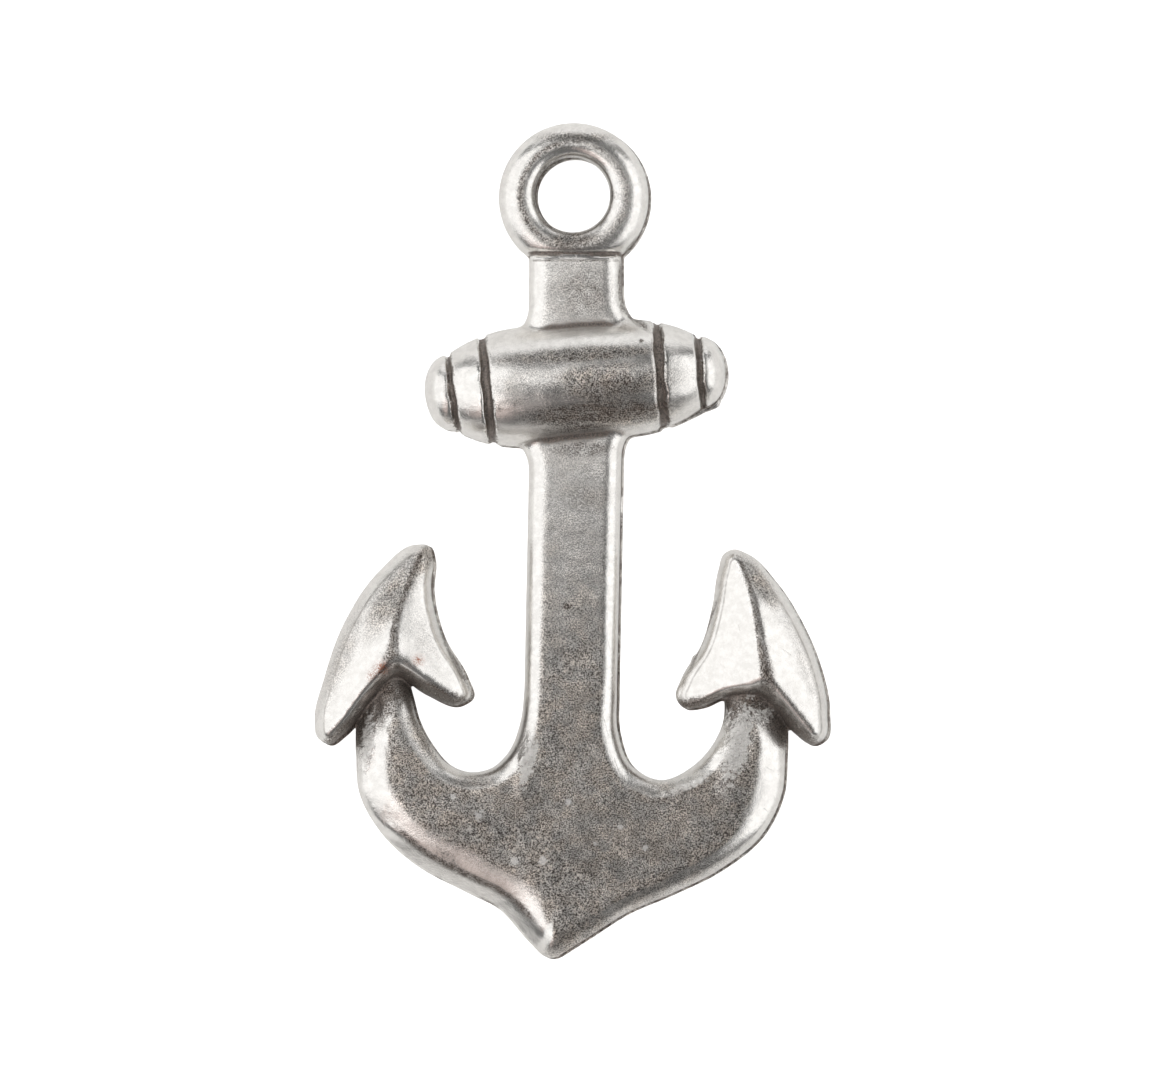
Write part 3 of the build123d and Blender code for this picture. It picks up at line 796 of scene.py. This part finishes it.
def crossed_faces(inside, number, axis):
    """A four-sided face round each grid edge along an axis that passes the surface."""
    others = [a for a in range(3) if a != axis]
    here = np.moveaxis(inside, axis, 0)
    change = np.argwhere(here[:-1] != here[1:])
    grow = here[1:][tuple(change.T)]
    places = np.empty((len(change), 3), int)
    places[:, axis] = change[:, 0]
    places[:, others[0]] = change[:, 1]
    places[:, others[1]] = change[:, 2]
    corners = []
    for i, j in ((0, 0), (1, 0), (1, 1), (0, 1)):
        cell = places.copy()
        cell[:, others[0]] -= i
        cell[:, others[1]] -= j
        corners.append(number[tuple(cell.T)])
    quads = np.stack(corners, axis=1)
    flip = grow if axis != 1 else ~grow
    quads[flip] = quads[flip][:, ::-1]
    return quads


def skin(low, values):
    """Points and four-sided faces of the closed surface where a grid's values pass zero."""
    inside = values < 0
    count = sum(inside[i:i - 1 or None, j:j - 1 or None, k:k - 1 or None].astype(np.int8)
                for i in (0, 1) for j in (0, 1) for k in (0, 1))
    active = (count > 0) & (count < 8)
    number = np.full(active.shape, -1)
    number[active] = np.arange(active.sum())
    points = low + MESH_STEP * crossing_places(np.argwhere(active), values)
    return points, np.vstack([crossed_faces(inside, number, axis) for axis in range(3)])


def gradient(points, reach=0.03):
    """How the casting's field rises along each axis."""
    slope = np.empty(points.shape)
    for axis in range(3):
        step = np.zeros(3)
        step[axis] = reach
        slope[:, axis] = casting_field(*(points + step).T) - casting_field(*(points - step).T)
    return slope / (2 * reach)


def neighbour_mean(values, pairs, counts):
    """Mean of each point's neighbours."""
    a, b = pairs.T
    sums = [np.bincount(a, column[b], len(values)) + np.bincount(b, column[a], len(values))
            for column in values.T]
    return np.stack(sums, axis=1) / counts[:, None]


def form_casting():
    """The casting's points, faces, outward directions and neighbours."""
    middle, reach = np.array(GRID_MIDDLE), np.array(GRID_REACH)
    low = middle - reach
    cells = tuple(np.ceil(2 * reach / MESH_STEP).astype(int) + 1)
    points, faces = skin(low, grid_values(low, cells))
    edges = np.sort(np.vstack([faces[:, [0, 1]], faces[:, [1, 2]], faces[:, [2, 3]],
                               faces[:, [3, 0]]]), axis=1)
    pairs = np.unique(edges, axis=0)
    counts = np.bincount(pairs.ravel(), minlength=len(points)).astype(float)
    for turn in range(1, SETTLING_TURNS + 1):
        slope = gradient(points)
        normal = slope / np.maximum(np.linalg.norm(slope, axis=1, keepdims=True), 1e-9)
        size = np.maximum((slope**2).sum(axis=1), 0.2)
        move = -casting_field(*points.T)[:, None] * slope / size[:, None]
        length = np.linalg.norm(move, axis=1, keepdims=True)
        move *= np.minimum(1, 0.5 * MESH_STEP / np.maximum(length, 1e-9))
        points = points + move
        if turn < SETTLING_TURNS:
            drift = neighbour_mean(points, pairs, counts) - points
            drift -= (drift * normal).sum(axis=1, keepdims=True) * normal
            points = points + 0.5 * drift
    return points, faces, normal, pairs, counts


def hollow(points, normal, pairs, counts, rounds, depth):
    """Share of a depth by which a point lies below (positive) or above its surroundings."""
    mean = points
    for _ in range(rounds):
        mean = neighbour_mean(mean, pairs, counts)
    return np.clip(((mean - points) * normal).sum(axis=1) / depth, -1, 1)


def spots(x, y, rows):
    """Soft round spots: places, radii and strengths."""
    return sum(depth * np.exp(-((x - px)**2 + (y - py)**2) / radius**2)
               for px, py, radius, depth in rows)


def patches(x, y, rows):
    """Soft long patches: places, half lengths, half widths, angles and strengths."""
    cover = np.zeros(np.shape(x))
    for px, py, length, width, angle, depth in rows:
        turn = radians(angle)
        along = (x - px) * cos(turn) + (y - py) * sin(turn)
        aside = (y - py) * cos(turn) - (x - px) * sin(turn)
        cover = np.maximum(cover, depth * np.exp(-((along / length)**2 + (aside / width)**2)**1.5))
    return cover


def stains_and_shade(x, y, z):
    """Where the dark finish stays, with painted shade and shadow in places, besides the sharp
    lines, which the material draws itself.
    """
    plan = plan_of(x, y)
    # Patina and painted shadow under the lips, on the arms and the lips' feet
    lip = plan["before_lip"]
    shadow_and_patina_under_lips = bell(np.maximum(lip, 0), 1.05) * smooth_step(-0.8, -0.1, lip)
    shadow_and_patina_under_lips = shadow_and_patina_under_lips * smooth_step(3.0, 2.5, z)
    # Seam at the part line, with gaps
    front = front_field(plan, np.full(x.shape, PART_LINE + 0.02))
    seam = bell(z - PART_LINE, 0.12) * bell(np.maximum(front, 0), 0.09)
    seam = seam * smooth_step(-0.5, 0.3, QUICK_WAVE(x * 1.6, y * 1.6))
    # Wall of the hole and crest of the eye, more on the left
    left = smooth_step(0.4, -1.4, x - EYE_SHIFT)
    wall = smooth_step(0.30, 0.05, plan["hole"]) * (0.15 + 0.85 * left)
    crest = bell(plan["hole"] - 0.74, 0.2) * (0.42 + 0.2 * left)
    # Painted shade line inside the crown's lower left edge
    shade_line_in_rim = bell(plan["plate"] - 0.80, 0.2) * smooth_step(-1.2, -2.2, x)
    shade_line_in_rim = shade_line_in_rim * smooth_step(-20.5, -22.0, y) * smooth_step(-26.6, -25.2, y)
    # patches of patina, and painted shade on the stock's lower half, the throats' rims and the
    # flukes' inner edges
    patched_dark_and_shade = patches(x, y, DARK_AND_SHADE_PATCHES) * (z > PART_LINE + 0.2)
    spread = np.maximum.reduce([PATINA_AND_SHADOW_UNDER_LIPS * shadow_and_patina_under_lips, IN_SEAM * seam, IN_HOLE * wall, crest,
                                SHADE_LINE_INSIDE_RIM * shade_line_in_rim, patched_dark_and_shade])
    return np.clip(spread, 0, 1)


def line_distances(x, y, z):
    """How far a point is from the casting's sharp lines. The material draws them from this."""
    plan = plan_of(x, y)
    high = z > PART_LINE + 0.15
    on_stock = high & (np.abs(stock_field(plan, z) - 0.05) < 0.3)
    fluke_edge = np.maximum(plan["flukes"][0][0], plan["flukes"][1][0])
    return {
        "from_groove": np.where(on_stock, plan["from_groove"], 1.0),
        "from_ridge": np.where(high, plan["from_ridge"], 1.0),
        "from_fluke_edge": np.where(high, np.clip(fluke_edge, -1, 3), -1.0),
        "from_step": np.clip(y - NECK_TOP, -1, 1),
        "near_step": high * smooth_step(2.4, 1.9, np.abs(x)),
        "barrel": bell(np.maximum(np.abs(plan["across"]) - 2.2, 0), 0.3),
    }


def wear_and_shade_of(x, y, normal):
    """How bright the metal is rubbed: slopes more than flats, and the crown's flat least, which is
    painted shade, as are the grey throats' rims.
    """
    flat = smooth_step(*FLAT_FACING, normal[:, 2])
    level = np.interp(y, *zip(*GREY_AND_SHADE_LEVELS))
    return np.clip(1 - np.maximum(flat * level, patches(x, y, GREY_AND_SHADE_PATCHES)), 0, 1)


def make_casting():
    """The casting as one mesh, with the masks that its material reads."""
    points, faces, normal, pairs, counts = form_casting()
    eye = next(m for m in frame["record"]["mounts"] if m["name"] == "eye")["pos_m"]
    offset = np.array((eye[0] / MM - EYE_SHIFT, eye[1] / MM - NECK_LENGTH, 0))
    mesh = bpy.data.meshes.new("casting")
    mesh.from_pydata(((points + offset) * MM).tolist(), [], faces.tolist())
    mesh.validate()
    mesh.polygons.foreach_set("use_smooth", [True] * len(mesh.polygons))
    print("casting", len(points), "points", 2 * len(faces), "triangles")
    x, y, z = points.T
    masks = {
        "hollow": hollow(points, normal, pairs, counts, *FINE_HOLLOW),
        "broad_hollow": hollow(points, normal, pairs, counts, *BROAD_HOLLOW),
        "stain_and_shade": stains_and_shade(x, y, z),
        "rust": spots(x, y, RUST_SPOTS),
        "wear_and_shade": wear_and_shade_of(x, y, normal),
        "frosted": patches(x, y, FROSTED) * (z > PART_LINE + 0.3),
        **line_distances(x, y, z),
    }
    for name, values in masks.items():
        layer = mesh.attributes.new(name, "FLOAT", "POINT")
        layer.data.foreach_set("value", values.astype(np.float32))
    drawn = mesh.attributes.new("drawn", "FLOAT_VECTOR", "POINT")
    drawn.data.foreach_set("vector", points.astype(np.float32).ravel())
    piece = bpy.data.objects.new("casting", mesh)
    bpy.context.scene.collection.objects.link(piece)
    return piece


class Wiring:
    """Adds nodes to a tree and links them. A value is a number, a colour or a node's output."""

    def __init__(self, tree):
        self.tree = tree

    def add(self, kind, inputs, settings):
        """The outputs of a new node with its settings and its inputs."""
        node = self.tree.nodes.new(kind)
        for name, value in settings.items():
            setattr(node, name, value)
        for name, value in dict(inputs).items():
            self.feed(node.inputs[name], value)
        return node.outputs

    def node(self, kind, inputs=(), output=0, **settings):
        """One output of a new node. The settings are given by name."""
        return self.add(kind, inputs, settings)[output]

    def group(self, tree, inputs):
        """The outputs of a node group that is placed with its own inputs."""
        return self.add("ShaderNodeGroup", inputs, {"node_tree": tree})

    def feed(self, socket, value):
        """Sets a socket, or links it to a node's output."""
        if isinstance(value, bpy.types.NodeSocket):
            self.tree.links.new(value, socket)
        else:
            socket.default_value = value

    def math(self, operation, a, b=0.0):
        return self.node("ShaderNodeMath", {0: a, 1: b}, operation=operation)

    def plus(self, a, b):
        return self.math("ADD", a, b)

    def minus(self, a, b):
        return self.math("SUBTRACT", a, b)

    def times(self, a, b):
        return self.math("MULTIPLY", a, b)

    def most(self, a, b):
        return self.math("MAXIMUM", a, b)

    def between(self, value, low, high, out_low=0.0, out_high=1.0):
        """A value brought smoothly from one pair of bounds to another."""
        return self.node("ShaderNodeMapRange", {
            "Value": value, "From Min": low, "From Max": high, "To Min": out_low,
            "To Max": out_high}, interpolation_type="SMOOTHSTEP")

    def band(self, value, middle, half, soft):
        """1 within a half width of a middle value, falling to 0 over a soft edge."""
        away = self.math("ABSOLUTE", self.minus(value, middle))
        return self.between(away, half + soft, half - soft)

    def blend(self, share, a, b, blend_type="MIX"):
        """Mix of two colours, which are a Mix node's inputs 6 and 7."""
        return self.node("ShaderNodeMix", {0: share, 6: a, 7: b}, output=2, data_type="RGBA",
                         blend_type=blend_type)

    def stretch(self, place, scale):
        return self.node("ShaderNodeVectorMath", {0: place, 1: scale}, operation="MULTIPLY")

    def noise(self, place, scale, detail=3.0, roughness=0.6):
        return self.node("ShaderNodeTexNoise", {
            "Vector": place, "Scale": scale, "Detail": detail, "Roughness": roughness})

    def attribute(self, name, output="Fac"):
        return self.node("ShaderNodeAttribute", attribute_name=name, output=output)


def node_group(name, inputs, outputs):
    """A node group with named number or vector inputs and number outputs, and its ends."""
    tree = bpy.data.node_groups.new(name, "ShaderNodeTree")
    for label, value in inputs.items():
        kind = "NodeSocketVector" if value is None else "NodeSocketFloat"
        socket = tree.interface.new_socket(name=label, in_out="INPUT", socket_type=kind)
        if value is not None:
            socket.default_value = value
    for label in outputs:
        tree.interface.new_socket(name=label, in_out="OUTPUT", socket_type="NodeSocketFloat")
    return tree, tree.nodes.new("NodeGroupInput"), tree.nodes.new("NodeGroupOutput")


def cast_grain_group():
    """Mottled grain of a tumbled casting: dark and light flecks, and the height that goes along."""
    tree, start, end = node_group("cast_grain", {"Place": None, "Grain Size": 0.16,
                                                 "Contrast": 1.0}, ("Mottle", "Height"))
    w = Wiring(tree)
    scale = w.math("DIVIDE", 1.0, start.outputs["Grain Size"])
    fine = w.noise(start.outputs["Place"], scale, 3.0, 0.7)
    patch = w.noise(start.outputs["Place"], w.times(scale, 0.3), 2.0, 0.6)
    mixed = w.plus(w.times(fine, 0.9), w.times(patch, 0.1))
    centred = w.times(w.minus(mixed, 0.5), start.outputs["Contrast"])
    w.feed(end.inputs["Mottle"], w.between(centred, -0.09, 0.09))
    w.feed(end.inputs["Height"], mixed)
    return tree


def uneven_patterns(w, place, mottle):
    """Patterns about zero that break up the finish. The streaks run along the barrel alone."""
    streak = w.minus(w.noise(w.stretch(place, STREAK_STRETCH), *STREAKS), 0.5)
    return {
        "speckle": w.minus(mottle, 0.5),
        "streak": w.times(streak, w.attribute("barrel")),
        "cloud": w.minus(w.noise(place, *CLOUDS), 0.5),
        "fray": w.times(w.minus(w.noise(place, *FRAYS), 0.5), 0.3),
        "crumbs": w.minus(w.noise(place, *CRUMBS), 0.5),
    }


def finish_and_shade_lines(w, place, fray):
    """Dark lines: finish in the grooves and in the crevice over the neck's step, a stripe along the
    ridges, and a painted shade line just under the step.
    """
    step = w.attribute("from_step")
    near_step = w.attribute("near_step")
    rubbed = w.between(w.noise(place, *RUBS), 0.38, 0.50, 0.3, 1.0)
    groove = w.between(w.plus(w.attribute("from_groove"), fray), 0.06, -0.06)
    ridge = w.between(w.plus(w.attribute("from_ridge"), fray), 0.09, -0.09)
    over_step = w.times(near_step, w.band(step, 0.16, 0.09, 0.05))
    # painted shade line under the step
    shade_under_step = w.times(near_step, w.band(step, -0.20, 0.07, 0.06))
    lines = w.times(w.times(groove, rubbed), 0.92)
    for line, share in ((ridge, 0.58), (over_step, 0.75), (shade_under_step, 0.5)):
        lines = w.most(lines, w.times(line, share))
    return lines


def dark_finish_and_shade(w, place, uneven):
    """Share of the brown-black: finish in hollows, lines and stains, and painted shade and shadow
    that the stains and lines carry.
    """
    speckle = uneven["speckle"]
    recess = w.between(w.plus(w.attribute("hollow"), w.times(speckle, 0.35)), 0.2, 0.9)
    broad = w.between(w.plus(w.attribute("broad_hollow"), w.times(speckle, 0.2)), 0.15, 0.75)
    stain_and_shade = w.most(w.attribute("stain_and_shade"), finish_and_shade_lines(w, place, uneven["fray"]))
    ragged = w.plus(w.times(speckle, -0.35), w.times(uneven["streak"], 0.9))
    ragged = w.plus(ragged, uneven["cloud"])
    ragged = w.times(ragged, w.between(stain_and_shade, 0.0, 0.9, 0.0, 1.8))
    return w.most(w.most(recess, broad), w.between(w.plus(stain_and_shade, ragged), 0.12, 0.88))


def frost(w, crumbs):
    """Share of the rough bright metal, with ragged edges."""
    frosted = w.attribute("frosted")
    ragged = w.plus(frosted, w.times(crumbs, 3.0))
    return w.times(w.between(ragged, 0.35, 0.8), w.between(frosted, 0.0, 0.4))


def light_specks(w, crumbs):
    """Share of the bare specks on the crown, with ragged edges."""
    level = w.stretch(w.attribute("drawn", "Vector"), (1, 1, 0))
    specks = 0.0
    for x, y, radius in LIGHT_SPECKS:
        away = w.node("ShaderNodeVectorMath", {0: level, 1: (x, y, 0)}, output="Value",
                      operation="DISTANCE")
        share = w.plus(w.math("DIVIDE", away, radius), w.times(crumbs, 4.0))
        specks = w.most(specks, w.between(share, 1.25, 0.75))
    return w.times(specks, SPECK_STRENGTH)


def grey_colour(w, place, mottle):
    """Grey of the flats: dark and light grains, in shades and faintly in two hues."""
    grey = w.blend(mottle, *GREY)
    shade = w.between(w.noise(place, *SHADES), 0.35, 0.65)
    grey = w.blend(1.0, grey, w.blend(shade, *GREY_SHADE), "MULTIPLY")
    hue = w.between(w.noise(place, *HUES), 0.35, 0.65)
    return w.blend(0.3, grey, w.blend(hue, *GREY_TINT), "MULTIPLY")


def casting_colour(w, place, mottle, uneven, patina_and_shade, dark_and_shade, frosted):
    """Colour of the casting, from its rubbed silver up to the marks on top of the finish, with
    painted shade along the flukes' shoulders.
    """
    silver = w.blend(w.between(w.noise(place, *SHINES), 0.35, 0.65), *SILVER)
    cover = w.between(w.minus(patina_and_shade, w.times(uneven["speckle"], 0.15)), 0.0, 0.9)
    colour = w.blend(cover, silver, grey_colour(w, place, mottle))
    # brown-black over patina and painted shade
    colour = w.blend(w.times(dark_and_shade, 0.9), colour, w.blend(mottle, *BROWN))
    colour = w.blend(w.times(frosted, 0.9), colour, silver)
    # painted shade line along each fluke's shoulder
    shoulder_shade = w.band(w.attribute("from_fluke_edge"), SHOULDER_SHADE_LINE, 0.025, 0.06)
    shoulder_shade = w.times(shoulder_shade, w.between(uneven["cloud"], -0.15, 0.1, 0.35, 0.9))
    colour = w.blend(shoulder_shade, colour, SHOULDER_SHADE_GREY)
    colour = w.blend(w.times(w.attribute("rust"), mottle), colour, RUST)
    return w.blend(light_specks(w, uneven["crumbs"]), colour, BARE_METAL)


def hairlines(w, place, turn):
    """Sparse fine scratches that run about one way."""
    turned = w.node("ShaderNodeVectorRotate", {"Vector": place, "Angle": turn})
    return w.between(w.noise(w.stretch(turned, HAIR_STRETCH), *HAIRS), 0.70, 0.77)


def casting_height(w, place, grain, patina_and_shade):
    """Height of the dents, the grain, the rough metal's bumps and the scratches, for the Bump."""
    dents = w.times(w.noise(place, *DENTS), 0.9)
    height = w.plus(dents, w.times(grain, w.plus(w.times(patina_and_shade, 0.5), 0.3)))
    bumps = w.times(w.noise(place, *BUMPS), w.attribute("frosted"))
    height = w.plus(height, w.times(bumps, BUMP_HEIGHT))
    scratches = w.plus(*(hairlines(w, place, turn) for turn in HAIR_TURNS))
    return w.minus(height, w.times(scratches, SCRATCH_DEPTH))


def silver_material():
    """Antiqued silver: rubbed metal, mottled grey on the flats and brown-black in the recesses,
    with painted shade and shadow in places.
    """
    material = bpy.data.materials.new("antiqued_silver")
    material.use_nodes = True
    shader = material.node_tree.nodes["Principled BSDF"]
    w = Wiring(material.node_tree)
    place = w.stretch(w.node("ShaderNodeTexCoord", output="Object"), (1 / MM,) * 3)
    grain = w.group(cast_grain_group(), {"Place": place, "Grain Size": GRAIN_SIZE,
                                         "Contrast": 1.0})
    mottle = grain["Mottle"]
    uneven = uneven_patterns(w, place, mottle)
    blotch = w.noise(place, *BLOTCHES)
    # grey share of the patina, with the painted shade that the wear mask carries
    patina_and_shade = w.times(w.minus(1.0, w.attribute("wear_and_shade")), w.between(blotch, 0.3, 0.7, 0.8, 1.1))
    patina_and_shade = w.times(patina_and_shade, w.plus(w.times(uneven["streak"], 1.2), 1.0))
    dark_and_shade = dark_finish_and_shade(w, place, uneven)
    frosted = frost(w, uneven["crumbs"])

    colour = casting_colour(w, place, mottle, uneven, patina_and_shade, dark_and_shade, frosted)
    w.feed(shader.inputs["Base Color"], colour)
    metallic = w.minus(w.between(dark_and_shade, 0.4, 1.0, 1.0, 0.6), w.times(frosted, 0.3))
    w.feed(shader.inputs["Metallic"], metallic)
    rough = w.plus(w.times(patina_and_shade, 0.16), w.between(blotch, 0.3, 0.7, 0.16, 0.25))
    rough = w.plus(w.plus(rough, w.times(dark_and_shade, 0.2)), w.times(frosted, 0.15))
    w.feed(shader.inputs["Roughness"], rough)
    height = casting_height(w, place, grain["Height"], patina_and_shade)
    bump = w.node("ShaderNodeBump", {"Strength": 1.0, "Distance": RELIEF, "Height": height})
    w.feed(shader.inputs["Normal"], bump)
    return material


def floor_material():
    """Pale paper that the camera sees brighter than the casting does."""
    material = bpy.data.materials.new("floor_paper")
    material.use_nodes = True
    shader = material.node_tree.nodes["Principled BSDF"]
    w = Wiring(material.node_tree)
    w.feed(shader.inputs["Base Color"], (0.93, 0.93, 0.92, 1))
    w.feed(shader.inputs["Roughness"], 0.9)
    w.feed(shader.inputs["Emission Color"], (1, 1, 0.99, 1))
    seen = w.node("ShaderNodeLightPath", output="Is Camera Ray")
    w.feed(shader.inputs["Emission Strength"], w.between(seen, 0, 1, 0.2, 1.0))
    return material


def lay_floor():
    """Floor just under the casting."""
    mesh = bpy.data.meshes.new("floor")
    half = FLOOR_HALF
    mesh.from_pydata([(-half, -half, 0), (half, -half, 0), (half, half, 0), (-half, half, 0)],
                     [], [(0, 1, 2, 3)])
    mesh.materials.append(floor_material())
    floor = bpy.data.objects.new("floor", mesh)
    floor.location.z = -FLOOR_DROP
    bpy.context.scene.collection.objects.link(floor)


def hang_panel(name, centre, facing, size, radiance, colour):
    """Soft light panel of an even brightness. Its width runs level and its height upwards."""
    data = bpy.data.lights.new(name, "AREA")
    data.shape = "RECTANGLE"
    data.size, data.size_y = size
    data.energy = radiance * pi * size[0] * size[1]
    data.color = colour
    light = bpy.data.objects.new(name, data)
    light.location = centre
    light.rotation_euler = Vector(facing).to_track_quat("-Z", "Y").to_euler()
    bpy.context.scene.collection.objects.link(light)


def light_studio():
    """The panels, and a faint even light all round."""
    for row in LIGHTS:
        hang_panel(*row)
    world = bpy.data.worlds.new("studio")
    world.use_nodes = True
    background = world.node_tree.nodes["Background"]
    background.inputs["Color"].default_value = (1, 1, 1, 1)
    background.inputs["Strength"].default_value = WORLD_STRENGTH
    bpy.context.scene.world = world
    bpy.context.scene.view_settings.view_transform = "Standard"


def set_camera():
    """Camera straight above, which takes in as much as the photo does at the part line."""
    data = bpy.data.cameras.new("camera")
    data.sensor_width = SENSOR_WIDTH
    data.sensor_fit = "HORIZONTAL"
    data.lens = SENSOR_WIDTH * CAMERA_DISTANCE / PHOTO_WIDTH
    data.clip_start = 0.01
    camera = bpy.data.objects.new("camera", data)
    camera.location = (*CAMERA_PLACE, CAMERA_DISTANCE + PART_LINE * MM)
    bpy.context.scene.collection.objects.link(camera)
    bpy.context.scene.camera = camera


casting = make_casting()
casting.data.materials.append(silver_material())
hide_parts("anchor")
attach(casting, "root")
lay_floor()
light_studio()
set_camera()
